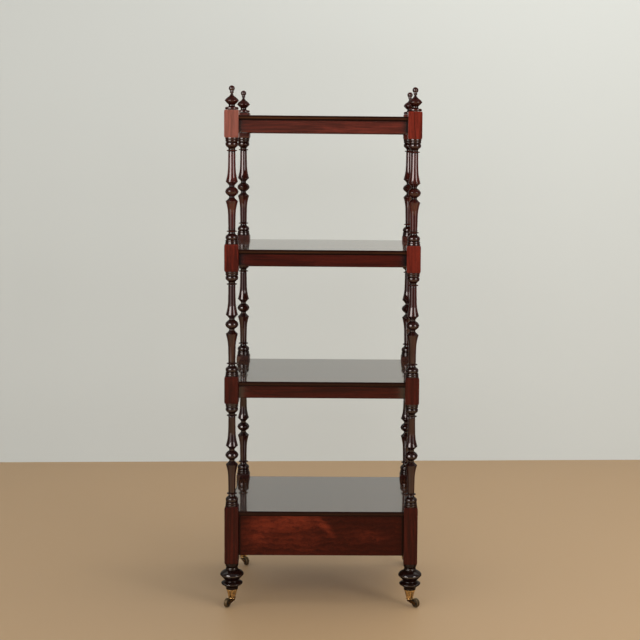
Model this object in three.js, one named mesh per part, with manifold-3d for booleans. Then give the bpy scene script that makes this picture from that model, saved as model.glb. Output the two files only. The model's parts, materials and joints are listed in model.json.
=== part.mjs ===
// A four-tier etagere with a drawer, turned posts, finials and brass casters.
// Millimetres, +Z up. The floor is z = 0, the front is -Y and the right is +X.
import * as THREE from 'three';
import { mergeVertices } from 'three/addons/utils/BufferGeometryUtils.js';
import Module from 'manifold-3d';

const wasm = await Module();
wasm.setup();

// Layout of the whole piece
const postSpacingX = 474.6; // between post centres, left to right
const postSpacingY = 359; // between post centres, front to back
const tierSpacing = 348; // from one shelf top to the next
const tierCount = 4;
const seat = 0.3; // gap between pieces that touch
const overrun = 1; // how far a cut runs past the face that it opens

// Posts
const blockSide = 36.7;
const blockShoulder = 13.4; // a block stands this far past its tier, above and below
const lowBlockDrop = 21.5; // the lowest block hangs this far below the drawer
const arrisHeight = 4; // the sloped shoulders at a block's two ends
const arrisInset = 1.2;
const turnedFacets = 12;
const turningRoot = 1; // how far a turned stretch runs into its block
const bulbDrop = 1.6; // a baluster's bulb sits this far below its middle

// Shelves
const shelfThick = 12.5;
const shelfProjection = 5; // the shelf's edge in front of the rail's face
const shelfQuirkHeight = 3; // the set-back strip under the moulded edge
const shelfNoseHeight = 3.2; // the eased top of the edge
const shelfNoseDepth = 2.4;

// Rails and aprons
const railThick = 20;
const railHeight = 31.5;
const railSetback = 12; // the rail's face behind the face of the block
const railBead = 3; // the rounded lower arris
const beadFacets = 2;
const apronHeight = 106.5;
const tenonLength = 9.5;
const tenonThick = 6.5;
const tenonShoulder = 5; // above and below each tenon

// Drawer and what carries it
const drawerGap = 0.5; // running gap round the drawer front
const drawerSideGap = 1; // between a drawer side and its guide
const drawerHeadroom = 5.5; // above the drawer sides
const drawerBackGap = 4; // behind the closed drawer
const drawerSideThick = 11;
const drawerBackThick = 11;
const drawerBackDrop = 3; // the back is this much lower than the sides
const drawerPanelThick = 6;
const panelInset = 4.5; // how far the panel sits in its grooves
const panelLift = 8; // the panel above the sides' lower edges
const tailCount = 3;
const tailLength = 14; // the tails' depth in the drawer front
const tailWidth = 14; // a tail at its root
const tailSlope = 1 / 6;
const runnerThick = 10;
const runnerWidth = 20;
const guideHeight = 27;
const bearerWidth = 30;

// Finials
const finialHeight = 62;
const finialRadius = 18.1;
const finialBallRadius = 7.7;
const finialDowelRadius = 5.7;
const finialDowelLength = 18;

// Feet
const footHeight = 71.095; // from the socket's rim to the post, which brings the lowest shelf to 257
const footRadius = 30.4;
const footDowelRadius = 8;
const footDowelLength = 22;

// Casters
const wheelRadius = 12.6;
const wheelWidth = 9;
const wheelShoulder = 2.2;
const wheelFacets = 14;
const wheelGap = 0.7; // running gap round the wheel
const axleRadius = 1.8;
const axleHeadRadius = 3;
const axleHeadHeight = 1.2;
const hornPlate = 2.2; // the disc under the socket
const hornHeel = 3.2; // the casting under the disc
const hornArmThick = 2;
const hornBossRadius = 4.5;
const pivotRadius = 3;
const pivotHeadRadius = 4.6;
const pivotHeadHeight = 1.6;
const smallFacets = 6;
const bossFacets = 3;
const socketHeight = 25.5;
const socketTopRadius = 15.3;
const socketBaseRadius = 10;
const socketWall = 1.4;
const socketFloor = 3;
const socketLip = 2; // height of the rim at its foot

// Where each caster has come to rest: the way its wheel trails, in degrees from +X
const corners = [
  { name: 'fl', x: -1, y: -1, trailDegrees: -119 },
  { name: 'fr', x: 1, y: -1, trailDegrees: -44 },
  { name: 'bl', x: -1, y: 1, trailDegrees: -62 },
  { name: 'br', x: 1, y: 1, trailDegrees: -66 },
];

// Turned outlines. Each row runs to a share of the length, at a radius share, swells or
// hollows on the way by a third share, and takes so many facets.

// Half a baluster, from its middle outwards: shares of the half length and of half the block
const balusterMiddleShare = 0.945;
const balusterDropShare = 0.43; // of the half length, over which the bulb's drop dies away
const balusterShares = [
  [0.086, 0.4, 0.1, 2], // bulb, down to its neck
  [0.181, 0.87, 0, 1], // underside of the flare, up to its lip
  [0.35, 0.59, 0, 1], // flare
  [0.73, 0.507, 0, 1], // shaft
  [0.757, 0.75, 0, 1], // ring
  [0.784, 0.47, 0, 1],
  [0.85, 0.87, 0, 1], // torus
  [0.914, 0.8, 0, 1],
  [1, 0.92, 0, 1], // cup
];

// Finial from its foot up to its ball: shares of its height and of its disc's radius
const finialBaseShare = 0.93;
const finialShares = [
  [0.094, 0.93, 0, 1], // collar
  [0.125, 0.47, 0, 1],
  [0.2, 0.44, 0, 1], // neck
  [0.37, 1, 0, 1], // underside of the disc
  [0.467, 0.79, 0, 1],
  [0.6, 0.25, 0, 1], // spire
  [0.655, 0.16, 0, 1],
  [0.695, 0.27, 0, 1],
  [0.79, 0.27, 0, 1], // stem of the ball
];
const ballFacets = 4;

// Foot from its socket up to the block: shares of its height and of its large ring's radius
const footBaseShare = 0.52;
const footShares = [
  [0.09, 0.56, 0, 1],
  [0.235, 0.925, 0, 1], // small ring
  [0.35, 0.61, 0, 1],
  [0.745, 0.515, 0.43, 4], // large ring
  [0.84, 0.5, 0, 1],
  [1, 0.572, 0, 1],
];
const hornShare = 0.335; // the horn's disc above the axle, a share of the wheel's radius
const hornRadiusShare = 0.8; // of the socket's base radius
const socketTaperShare = 0.9; // the socket's body at its foot, of its base radius

// Sizes that follow, from the floor up
const axleHeight = wheelRadius * Math.cos(Math.PI / wheelFacets);
const hornBottom = axleHeight + wheelRadius * hornShare;
const hornTop = hornBottom + hornPlate;
const hornRadius = socketBaseRadius * hornRadiusShare;
const armInside = wheelWidth / 2 + wheelGap;
const armOutside = armInside + hornArmThick;
const socketBottom = hornTop + seat;
// The wheel trails clear of the socket's rim
const wheelReach = Math.sqrt(wheelRadius ** 2 - (socketBottom - axleHeight) ** 2);
const trail = socketBaseRadius + wheelGap + wheelReach;
const socketTop = socketBottom + socketHeight;
const pivotTop = socketBottom + socketFloor + seat + pivotHeadHeight;
const footBottom = socketTop + seat;
const footTop = footBottom + footHeight;
const lowShelfTop = footTop + seat + lowBlockDrop + apronHeight + seat + shelfThick;

const halfBlock = blockSide / 2;
const postX = postSpacingX / 2;
const postY = postSpacingY / 2;
const tierTop = (tier) => lowShelfTop + tier * tierSpacing;
const shelfUnderside = (tier) => tierTop(tier) - shelfThick;
const railBottom = (tier) => shelfUnderside(tier) - seat - (tier === 0 ? apronHeight : railHeight);
const blockTop = (tier) => tierTop(tier) + blockShoulder;
const blockBottom = (tier) => railBottom(tier) - (tier === 0 ? lowBlockDrop : blockShoulder);
const railInset = railSetback + railThick / 2 - halfBlock; // rail's middle line inside the post's
const railSpanX = postSpacingX - blockSide; // between the blocks
const railSpanY = postSpacingY - blockSide;
const railFaceX = postX + halfBlock - railSetback;
const railFaceY = postY + halfBlock - railSetback;

// Materials
const finishes = {
  mahogany: { color: '#5a2118', roughness: 0.28, metalness: 0 },
  shelf: { color: '#6b3022', roughness: 0.18, metalness: 0 },
  veneer: { color: '#6d2b1a', roughness: 0.25, metalness: 0 },
  blackened: { color: '#1d0c08', roughness: 0.25, metalness: 0 },
  carcass: { color: '#9a7448', roughness: 0.7, metalness: 0 },
  brass: { color: '#b07c38', roughness: 0.35, metalness: 1 },
  bronze: { color: '#574633', roughness: 0.5, metalness: 1 },
};

// A closed three.js geometry as a solid that can be cut and joined
function solid(geometry) {
  const bare = geometry.clone();
  bare.deleteAttribute('normal');
  bare.deleteAttribute('uv');
  const merged = mergeVertices(bare);
  const corner = merged.index.array;
  const triangles = [];
  for (let i = 0; i < corner.length; i += 3) {
    const [a, b, c] = [corner[i], corner[i + 1], corner[i + 2]];
    const flat = a === b || b === c || c === a; // the lathe leaves such ones at its poles
    if (!flat) triangles.push(a, b, c);
  }
  return new wasm.Manifold(new wasm.Mesh({
    numProp: 3,
    vertProperties: merged.attributes.position.array,
    triVerts: Uint32Array.from(triangles),
  }));
}

function piece(name, body, finish) {
  const mesh = body.getMesh();
  const geometry = new THREE.BufferGeometry();
  geometry.setAttribute('position', new THREE.BufferAttribute(mesh.vertProperties, 3));
  geometry.setIndex(new THREE.BufferAttribute(mesh.triVerts, 1));
  geometry.computeVertexNormals();
  const node = new THREE.Mesh(geometry, new THREE.MeshStandardMaterial(finishes[finish]));
  node.name = name;
  return node;
}

function place(node, x, y, z) {
  node.position.set(x, y, z);
  return node;
}

// A box between pairs of ends along X, Y and Z, given in either order
function box(...pairs) {
  const sizes = pairs.map(([a, b]) => Math.abs(b - a));
  const middles = pairs.map(([a, b]) => (a + b) / 2);
  return solid(new THREE.BoxGeometry(...sizes).translate(...middles));
}

// Revolves an outline of [radius, height] pairs about Z
function turned(outline, facets) {
  const points = outline.map(([radius, height]) => new THREE.Vector2(radius, height));
  return solid(new THREE.LatheGeometry(points, facets).rotateX(Math.PI / 2));
}

// Extrudes an outline in Y and Z along X between two ends
function extrudedAlongX(outline, ends) {
  const [low, high] = ends.toSorted((a, b) => a - b);
  const shape = new THREE.Shape(outline.map(([y, z]) => new THREE.Vector2(y, z)));
  const geometry = new THREE.ExtrudeGeometry(shape, { depth: high - low, bevelEnabled: false });
  const toX = new THREE.Matrix4().makeBasis(
    new THREE.Vector3(0, 1, 0), new THREE.Vector3(0, 0, 1), new THREE.Vector3(1, 0, 0));
  return solid(geometry.applyMatrix4(toX).translate(low, 0, 0));
}

// Joins level outlines of [x, y] pairs, all with as many corners, into one solid
function lofted(levels) {
  const count = levels[0].outline.length;
  const positions = levels.flatMap(({ z, outline }) => outline.flatMap(([x, y]) => [x, y, z]));
  const triangles = [];
  for (let level = 0; level + 1 < levels.length; level += 1) {
    for (let i = 0; i < count; i += 1) {
      const [a, b] = [level * count + i, level * count + ((i + 1) % count)];
      triangles.push(a, b, b + count, a, b + count, a + count);
    }
  }
  const contour = levels[0].outline.map(([x, y]) => new THREE.Vector2(x, y));
  const top = (levels.length - 1) * count;
  for (const [a, b, c] of THREE.ShapeUtils.triangulateShape(contour, [])) {
    triangles.push(a, c, b, top + a, top + b, top + c);
  }
  const geometry = new THREE.BufferGeometry();
  geometry.setAttribute('position', new THREE.Float32BufferAttribute(positions, 3));
  geometry.setIndex(triangles);
  return solid(geometry);
}

// Walks rows of shares into points: a straight run, or one that swells by half a sine
function turnedRows(rows, start, length, radius, startRadius) {
  const points = [];
  let [from, fromRadius] = [0, startRadius];
  for (const [to, toRadius, swell, facets] of rows) {
    for (let k = 1; k <= facets; k += 1) {
      const t = k / facets;
      const along = from + (to - from) * t;
      const share = fromRadius + (toRadius - fromRadius) * t + swell * Math.sin(Math.PI * t);
      points.push([share * radius, start + along * length]);
    }
    [from, fromRadius] = [to, toRadius];
  }
  return points;
}

// One square block with sloped shoulders at both ends
function postBlock(bottom, top) {
  const square = (half) => [[-half, -half], [half, -half], [half, half], [-half, half]];
  return lofted([
    { z: bottom, outline: square(halfBlock - arrisInset) },
    { z: bottom + arrisHeight, outline: square(halfBlock) },
    { z: top - arrisHeight, outline: square(halfBlock) },
    { z: top, outline: square(halfBlock - arrisInset) },
  ]);
}

// A turned stretch between two blocks, alike above and below but for its bulb's small drop
function baluster(bottom, top) {
  const middle = (bottom + top) / 2;
  const half = (top - bottom) / 2;
  const upper = turnedRows(balusterShares, middle, half, halfBlock, balusterMiddleShare);
  const lower = upper.map(([radius, z]) => [radius, 2 * middle - z]).reverse();
  const rows = [...lower, [balusterMiddleShare * halfBlock, middle], ...upper];
  const dropped = rows.map(([radius, z]) => {
    const far = (z - middle) / (balusterDropShare * half);
    return [radius, z - bulbDrop * Math.exp(-(far ** 2))];
  });
  const endRadius = upper[upper.length - 1][0];
  return turned([
    [0, bottom - turningRoot], [endRadius, bottom - turningRoot], ...dropped,
    [endRadius, top + turningRoot], [0, top + turningRoot],
  ], turnedFacets);
}

// A round hole up or down from its mouth, a seat's gap wider and deeper than its dowel
function dowelHole(radius, mouth, depth, direction) {
  const wide = radius + seat;
  const ends = [mouth - direction * (depth + seat), mouth + direction * overrun];
  const [low, high] = direction > 0 ? ends : ends.reverse();
  return turned([[0, low], [wide, low], [wide, high], [0, high]], turnedFacets);
}

// The mortise for a rail, in the face of the post that looks inwards along X or along Y
function mortise(corner, tier, axis) {
  const [inward, sideways] = axis === 'x' ? [-corner.x, -corner.y] : [-corner.y, -corner.x];
  const depths = [inward * (halfBlock - tenonLength - seat), inward * (halfBlock + overrun)];
  const middle = sideways * railInset;
  const half = tenonThick / 2 + seat;
  const widths = [middle - half, middle + half];
  const heights = [railBottom(tier) + tenonShoulder - seat, shelfUnderside(tier) - tenonShoulder];
  return axis === 'x' ? box(depths, widths, heights) : box(widths, depths, heights);
}

// A post from the foot's seat to the finial's: blocks and balusters in one length
function makePost(corner) {
  let post = postBlock(blockBottom(0), blockTop(0));
  for (let tier = 1; tier < tierCount; tier += 1) {
    post = post.add(postBlock(blockBottom(tier), blockTop(tier)));
    post = post.add(baluster(blockTop(tier - 1), blockBottom(tier)));
  }
  for (let tier = 0; tier < tierCount; tier += 1) {
    post = post.subtract(mortise(corner, tier, 'y'));
    const hasRail = tier > 0 || corner.y > 0; // the drawer leaves the front of its tier open
    if (hasRail) post = post.subtract(mortise(corner, tier, 'x'));
  }
  const top = blockTop(tierCount - 1);
  post = post.subtract(dowelHole(finialDowelRadius, top, finialDowelLength, 1));
  post = post.subtract(dowelHole(footDowelRadius, blockBottom(0), footDowelLength, -1));
  return piece(`post_${corner.name}`, post, 'mahogany');
}

function makeFinial(corner) {
  const base = blockTop(tierCount - 1) + seat;
  const rows = turnedRows(finialShares, base, finialHeight, finialRadius, finialBaseShare);
  const [stemRadius, stemTop] = rows[rows.length - 1];
  const startAngle = -Math.acos(stemRadius / finialBallRadius);
  const ballCentre = stemTop - finialBallRadius * Math.sin(startAngle);
  const ball = [];
  for (let k = 1; k < ballFacets; k += 1) {
    const angle = startAngle + (Math.PI / 2 - startAngle) * (k / ballFacets);
    ball.push([finialBallRadius * Math.cos(angle), ballCentre + finialBallRadius * Math.sin(angle)]);
  }
  const outline = [
    [0, base - finialDowelLength], [finialDowelRadius, base - finialDowelLength],
    [finialDowelRadius, base], [finialBaseShare * finialRadius, base],
    ...rows, ...ball, [0, ballCentre + finialBallRadius],
  ];
  return piece(`finial_${corner.name}`, turned(outline, turnedFacets), 'mahogany');
}

// The ringed foot, with a dowel up into the post and a tapered tip down in the socket
function makeFoot(corner) {
  const rows = turnedRows(footShares, footBottom, footTop - footBottom, footRadius, footBaseShare);
  const tipBottom = pivotTop + seat;
  const tipShare = (tipBottom - socketBottom) / socketHeight;
  const taperBase = socketBaseRadius * socketTaperShare;
  const innerTop = socketTopRadius - socketWall - seat;
  const innerLow = taperBase + (socketTopRadius - taperBase) * tipShare - socketWall - seat;
  const outline = [
    [0, tipBottom], [innerLow, tipBottom], [innerTop, footBottom],
    [footBaseShare * footRadius, footBottom], ...rows,
    [footDowelRadius, footTop], [footDowelRadius, footTop + footDowelLength],
    [0, footTop + footDowelLength],
  ];
  return piece(`foot_${corner.name}`, turned(outline, turnedFacets), 'blackened');
}

// A shelf board notched round the four posts, with an eased edge over a set-back strip
function makeShelf(name, tier) {
  const notchX = railSpanX / 2 - seat;
  const notchY = railSpanY / 2 - seat;
  const outline = (inset) => {
    const edgeX = railFaceX + shelfProjection - inset;
    const edgeY = railFaceY + shelfProjection - inset;
    return [
      [-notchX, -edgeY], [notchX, -edgeY], [notchX, -notchY], [edgeX, -notchY],
      [edgeX, notchY], [notchX, notchY], [notchX, edgeY], [-notchX, edgeY],
      [-notchX, notchY], [-edgeX, notchY], [-edgeX, -notchY], [-notchX, -notchY],
    ];
  };
  const shoulder = shelfThick - shelfNoseHeight;
  const board = lofted([
    { z: 0, outline: outline(shelfProjection) },
    { z: shelfQuirkHeight, outline: outline(shelfProjection) },
    { z: shelfQuirkHeight, outline: outline(0) },
    { z: shoulder, outline: outline(0) },
    { z: shelfThick, outline: outline(shelfNoseDepth) },
  ]);
  return place(piece(name, board, 'shelf'), 0, 0, shelfUnderside(tier));
}

// A rail or apron along X with its face to -Y, a rounded lower arris and a tenon at each end
function railSolid(span, height) {
  const half = railThick / 2;
  const arris = [];
  for (let k = 0; k <= beadFacets; k += 1) {
    const angle = Math.PI + (Math.PI / 2) * (k / beadFacets);
    arris.push([railBead - half + railBead * Math.cos(angle), railBead + railBead * Math.sin(angle)]);
  }
  const section = [...arris, [half, 0], [half, height], [-half, height]];
  const end = span / 2 - seat;
  const rail = extrudedAlongX(section, [-end, end]);
  const reach = span / 2 + tenonLength;
  return rail.add(box([-reach, reach], [-tenonThick / 2, tenonThick / 2],
    [tenonShoulder, height - tenonShoulder]));
}

function makeRails(tier, prefix, number, height, hasFront) {
  const sides = [
    { name: 'front', turn: 0, span: railSpanX, x: 0, y: -(postY - railInset) },
    { name: 'right', turn: Math.PI / 2, span: railSpanY, x: postX - railInset, y: 0 },
    { name: 'back', turn: Math.PI, span: railSpanX, x: 0, y: postY - railInset },
    { name: 'left', turn: -Math.PI / 2, span: railSpanY, x: -(postX - railInset), y: 0 },
  ];
  return sides.filter(({ name }) => hasFront || name !== 'front').map((side) => {
    const node = piece(`${prefix}_${side.name}${number}`, railSolid(side.span, height), 'mahogany');
    node.rotation.z = side.turn;
    return place(node, side.x, side.y, railBottom(tier));
  });
}

// The drawer stands in its own frame: y = 0 is its face and z = 0 its front's lower edge
const drawerFrontBottom = railBottom(0);
const drawerFrontHeight = apronHeight + seat - drawerGap;
const drawerFaceY = -railFaceY;
const sideBottom = runnerThick + seat; // above the front's lower edge
const sideTop = drawerFrontHeight + drawerGap - drawerHeadroom;
const drawerHalf = railSpanX / 2 - drawerSideGap;
const drawerLength = 2 * railFaceY - railThick - drawerBackGap;
const frontInside = railThick; // the inner face of the front
const backInside = drawerLength - drawerBackThick;
const panelBottom = sideBottom + panelLift;
const panelTop = panelBottom + drawerPanelThick;
const panelGroove = [panelBottom - seat, panelTop + seat];
const backTop = sideTop - drawerBackDrop;
const backBottom = panelTop + seat;

// Middles of the dovetails between two heights
function tailMiddles(low, high) {
  const pitch = (high - low) / tailCount;
  return Array.from({ length: tailCount }, (_, k) => low + pitch * (k + 1 / 2));
}

// A dovetail in Y and Z round a middle height. It widens from its root to its tip, starts
// some way before the root, ends some way beyond the tip, and has room at its two flanks.
function tailOutline(root, tip, middle, { before, beyond, room }) {
  const away = Math.sign(tip - root);
  const start = root - away * before;
  const end = tip + away * beyond;
  const halfAt = (y) => tailWidth / 2 + room + away * (y - root) * tailSlope;
  return [
    [start, middle - halfAt(start)], [end, middle - halfAt(end)],
    [end, middle + halfAt(end)], [start, middle + halfAt(start)],
  ];
}

const tail = { before: seat, beyond: 0, room: 0 };
const blindSocket = { before: overrun, beyond: seat, room: seat };
const throughSocket = { before: overrun, beyond: overrun, room: seat };

function makeDrawerSide(side) {
  const frontRoot = frontInside + seat;
  const backRoot = backInside - seat;
  const outline = [[frontRoot, sideTop]];
  for (const middle of tailMiddles(sideBottom, sideTop).reverse()) {
    outline.push(...tailOutline(frontInside, frontInside - tailLength, middle, tail).reverse());
  }
  outline.push([frontRoot, sideBottom], [backRoot, sideBottom]);
  for (const middle of tailMiddles(backBottom, backTop)) {
    outline.push(...tailOutline(backInside, drawerLength, middle, tail));
  }
  outline.push([backRoot, sideTop]);
  const outer = side * drawerHalf;
  const inner = outer - side * drawerSideThick;
  const board = extrudedAlongX(outline, [outer, inner]);
  const groove = box([inner - side * overrun, inner + side * (panelInset + seat)],
    [-overrun, drawerLength + overrun], panelGroove);
  return piece(`drawer_side_${side < 0 ? 'left' : 'right'}`, board.subtract(groove), 'carcass');
}

// Cuts the sides' dovetails out of one end of a board across the drawer
function cutSockets(board, side, root, tip, middles, socket) {
  const ends = [side * (drawerHalf - drawerSideThick - seat), side * (railSpanX / 2)];
  return middles.reduce((rest, middle) => rest.subtract(
    extrudedAlongX(tailOutline(root, tip, middle, socket), ends)), board);
}

function makeDrawerFront() {
  const half = railSpanX / 2 - drawerGap;
  const middles = tailMiddles(sideBottom, sideTop);
  let board = box([-half, half], [0, railThick], [0, drawerFrontHeight]);
  for (const side of [-1, 1]) {
    board = cutSockets(board, side, frontInside, frontInside - tailLength, middles, blindSocket);
  }
  const grooveHalf = drawerHalf - drawerSideThick + panelInset + seat;
  const groove = box([-grooveHalf, grooveHalf],
    [frontInside - panelInset - seat, frontInside + overrun], panelGroove);
  return piece('drawer_front', board.subtract(groove), 'veneer');
}

function makeDrawerBack() {
  const middles = tailMiddles(backBottom, backTop);
  let board = box([-drawerHalf, drawerHalf], [backInside, drawerLength], [backBottom, backTop]);
  for (const side of [-1, 1]) {
    board = cutSockets(board, side, backInside, drawerLength, middles, throughSocket);
  }
  return piece('drawer_back', board, 'carcass');
}

function makeDrawerBottom() {
  const half = drawerHalf - drawerSideThick + panelInset;
  const panel = box([-half, half], [frontInside - panelInset, drawerLength], [panelBottom, panelTop]);
  return piece('drawer_bottom', panel, 'carcass');
}

function makeDrawer() {
  const drawer = new THREE.Group();
  drawer.add(makeDrawerFront(), makeDrawerSide(-1), makeDrawerSide(1));
  drawer.add(makeDrawerBack(), makeDrawerBottom());
  return place(drawer, 0, drawerFaceY, drawerFrontBottom);
}

// Ledges that the drawer sides slide on, strips that guide them, and the bearer in front
function makeDrawerSupports() {
  const apronInside = railFaceX - railThick - seat;
  const frontEnd = -(railSpanY / 2 - seat);
  const backEnd = railSpanY / 2 - seat;
  const bearerEnd = frontEnd + bearerWidth;
  const bearer = box([-apronInside, apronInside], [frontEnd, bearerEnd], [0, runnerThick]);
  const nodes = [piece('bearer', bearer, 'carcass')];
  for (const side of [-1, 1]) {
    const name = side < 0 ? 'left' : 'right';
    const outer = side * apronInside;
    const runner = box([outer, outer - side * runnerWidth], [bearerEnd + seat, backEnd], [0, runnerThick]);
    const guide = box([outer, side * (drawerHalf + drawerSideGap)], [frontEnd, backEnd],
      [runnerThick + seat, runnerThick + guideHeight]);
    nodes.push(piece(`runner_${name}`, runner, 'carcass'), piece(`guide_${name}`, guide, 'carcass'));
  }
  nodes.forEach((node) => place(node, 0, 0, drawerFrontBottom));
  return nodes;
}

// The tapered brass socket round the leg's tip, with a hole for the pivot in its floor
function makeSocket(corner) {
  const taper = socketBaseRadius * socketTaperShare;
  const low = socketBottom + socketLip;
  const floorTop = socketBottom + socketFloor;
  const floorRadius = taper + (socketTopRadius - taper) * (socketFloor / socketHeight) - socketWall;
  const hole = pivotRadius + seat;
  const outline = [
    [hole, socketBottom], [socketBaseRadius, socketBottom], [socketBaseRadius, low], [taper, low],
    [socketTopRadius, socketTop],
    [socketTopRadius - socketWall, socketTop], [floorRadius, floorTop], [hole, floorTop],
    [hole, socketBottom],
  ];
  return piece(`caster_socket_${corner.name}`, turned(outline, turnedFacets), 'brass');
}

// The horn's casting, which trails down to the axle, with the wheel's slot cut out of it
function hornCasting() {
  const root = hornRadius / 2;
  const shape = new THREE.Shape();
  shape.moveTo(-root, hornBottom - hornHeel);
  shape.lineTo(-root, hornTop);
  shape.lineTo(root, hornTop);
  shape.absarc(trail, axleHeight, hornBossRadius, Math.PI / 3, -Math.PI * (2 / 3), true);
  const casting = new THREE.ExtrudeGeometry(shape, {
    depth: 2 * armOutside, bevelEnabled: false, curveSegments: bossFacets,
  });
  casting.rotateX(Math.PI / 2).translate(0, armOutside, 0);
  const slotRadius = wheelRadius + wheelGap;
  return solid(casting).subtract(acrossTrail([
    [0, -armInside], [slotRadius, -armInside], [slotRadius, armInside], [0, armInside],
  ], wheelFacets));
}

// The horn: a disc and headed pivot over its casting
function makeHorn(corner) {
  const headBottom = socketBottom + socketFloor + seat;
  let horn = turned([
    [0, hornBottom], [hornRadius, hornBottom], [hornRadius, hornTop], [pivotRadius, hornTop],
    [pivotRadius, headBottom], [pivotHeadRadius, headBottom], [pivotHeadRadius, pivotTop],
    [0, pivotTop],
  ], smallFacets);
  horn = horn.add(hornCasting());
  const holeEnd = armOutside + overrun;
  horn = horn.subtract(acrossTrail([
    [0, -holeEnd], [axleRadius + seat, -holeEnd], [axleRadius + seat, holeEnd], [0, holeEnd],
  ], smallFacets));
  return piece(`caster_horn_${corner.name}`, horn, 'brass');
}

// Revolves an outline about the axle's line, a flat facet downwards
function acrossTrail(outline, facets) {
  const points = outline.map(([radius, along]) => new THREE.Vector2(radius, along));
  const geometry = new THREE.LatheGeometry(points, facets, Math.PI / facets);
  return solid(geometry.rotateY(Math.PI / 2).translate(trail, 0, axleHeight));
}

function makeAxle(corner) {
  const headStart = armOutside + seat;
  const headEnd = headStart + axleHeadHeight;
  const axle = acrossTrail([
    [0, -headEnd], [axleHeadRadius, -headEnd], [axleHeadRadius, -headStart], [axleRadius, -headStart],
    [axleRadius, headStart], [axleHeadRadius, headStart], [axleHeadRadius, headEnd], [0, headEnd],
  ], smallFacets);
  return piece(`caster_axle_${corner.name}`, axle, 'brass');
}

function makeWheel(corner) {
  const half = wheelWidth / 2;
  const bore = axleRadius + seat;
  const flank = wheelRadius - wheelShoulder;
  const wheel = acrossTrail([
    [bore, -half], [flank, -half], [wheelRadius, wheelShoulder - half],
    [wheelRadius, half - wheelShoulder], [flank, half], [bore, half], [bore, -half],
  ], wheelFacets);
  return piece(`caster_wheel_${corner.name}`, wheel, 'bronze');
}

// One corner: a group at the post's centre, with the caster turned the way it trails
function makeCorner(corner) {
  const group = new THREE.Group();
  group.add(makePost(corner), makeFinial(corner), makeFoot(corner), makeSocket(corner));
  const caster = new THREE.Group();
  caster.rotation.z = THREE.MathUtils.degToRad(corner.trailDegrees);
  caster.add(makeHorn(corner), makeAxle(corner), makeWheel(corner));
  group.add(caster);
  return place(group, corner.x * postX, corner.y * postY, 0);
}

const etagere = new THREE.Group();
corners.forEach((corner) => etagere.add(makeCorner(corner)));
for (let tier = 0; tier < tierCount; tier += 1) {
  const number = tierCount - tier; // shelves are counted from the top
  etagere.add(makeShelf(`shelf_${number}`, tier));
  if (tier > 0) etagere.add(...makeRails(tier, 'rail', `_${number}`, railHeight, true));
}
etagere.add(...makeRails(0, 'apron', '', apronHeight, false));
etagere.add(...makeDrawerSupports());
etagere.add(makeDrawer());

export default etagere;
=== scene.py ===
"""The looks of a four-tier mahogany etagere: turned posts, moulded shelves, a veneered drawer
and brass casters, in a plain studio.

Metres, +Z up. The floor is z = 0, the front is -Y and the right is +X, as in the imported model.
"""

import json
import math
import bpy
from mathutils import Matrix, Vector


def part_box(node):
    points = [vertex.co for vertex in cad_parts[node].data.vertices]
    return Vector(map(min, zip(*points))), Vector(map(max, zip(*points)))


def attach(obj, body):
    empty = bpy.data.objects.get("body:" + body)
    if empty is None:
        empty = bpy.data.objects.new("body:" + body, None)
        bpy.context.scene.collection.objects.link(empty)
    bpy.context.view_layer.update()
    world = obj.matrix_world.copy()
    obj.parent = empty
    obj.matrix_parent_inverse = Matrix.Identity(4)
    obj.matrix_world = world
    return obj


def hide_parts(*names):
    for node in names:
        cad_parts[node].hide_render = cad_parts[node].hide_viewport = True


bl_info = {
    "name": "Turned Etagere",
    "version": (1, 0, 0),
    "blender": (4, 5, 0),
    "location": "View3D > Sidebar > Etagere",
    "description": "Makes the polished woods, the brass casters and the studio of an etagere",
    "category": "Object",
}

import bmesh
import bpy
import numpy as np
from bpy.props import FloatProperty, FloatVectorProperty, IntProperty, PointerProperty
from mathutils import Matrix, Vector

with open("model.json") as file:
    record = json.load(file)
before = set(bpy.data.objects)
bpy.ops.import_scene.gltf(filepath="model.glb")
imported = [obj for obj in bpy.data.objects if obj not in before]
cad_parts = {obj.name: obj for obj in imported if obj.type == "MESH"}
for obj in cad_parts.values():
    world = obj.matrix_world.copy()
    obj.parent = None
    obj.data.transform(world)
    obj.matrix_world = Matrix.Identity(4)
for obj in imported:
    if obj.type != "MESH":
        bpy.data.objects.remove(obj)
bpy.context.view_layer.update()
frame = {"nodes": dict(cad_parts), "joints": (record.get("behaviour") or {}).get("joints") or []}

MM = 0.001
SEAT = 0.3 * MM  # gap between pieces that touch
HAIR = 0.1 * MM  # takes a limit just past the vertices that it should hold
IMAGE_SIDE = 640  # pixels, both ways
CORNERS = {"fl": (-1, -1), "fr": (1, -1), "bl": (-1, 1), "br": (1, 1)}

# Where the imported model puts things
POST_LOW, POST_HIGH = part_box("post_fr")
HALF_BLOCK = (POST_HIGH.x - POST_LOW.x) / 2
POST_X = (POST_LOW.x + POST_HIGH.x) / 2
POST_Y = -(POST_LOW.y + POST_HIGH.y) / 2
SHELF_NUMBERS = (4, 3, 2, 1)  # counted from the top, listed from the floor
SHELF_BOXES = [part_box(f"shelf_{number}") for number in SHELF_NUMBERS]
RAIL_BOTTOMS = [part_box("apron_back")[0].z] + [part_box(f"rail_back_{n}")[0].z for n in (3, 2, 1)]
RAIL_FACE_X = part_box("rail_right_1")[1].x
RAIL_FACE_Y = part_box("rail_back_1")[1].y
RAIL_THICK = RAIL_FACE_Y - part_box("rail_back_1")[0].y


def tone(red, green, blue):
    """A colour seen on a screen, each part from 0 to 255, as the linear colour of a shader."""
    share = np.array([red, green, blue]) / 255
    return tuple(np.where(share <= 0.04045, share / 12.92, ((share + 0.055) / 1.055) ** 2.4))


def length(name, description, millimetres):
    return FloatProperty(
        name=name, description=description, default=millimetres * MM,
        unit="LENGTH", subtype="DISTANCE")


def colour(name, description, *screen):
    return FloatVectorProperty(
        name=name, description=description, default=tone(*screen), subtype="COLOR", size=3)


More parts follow.
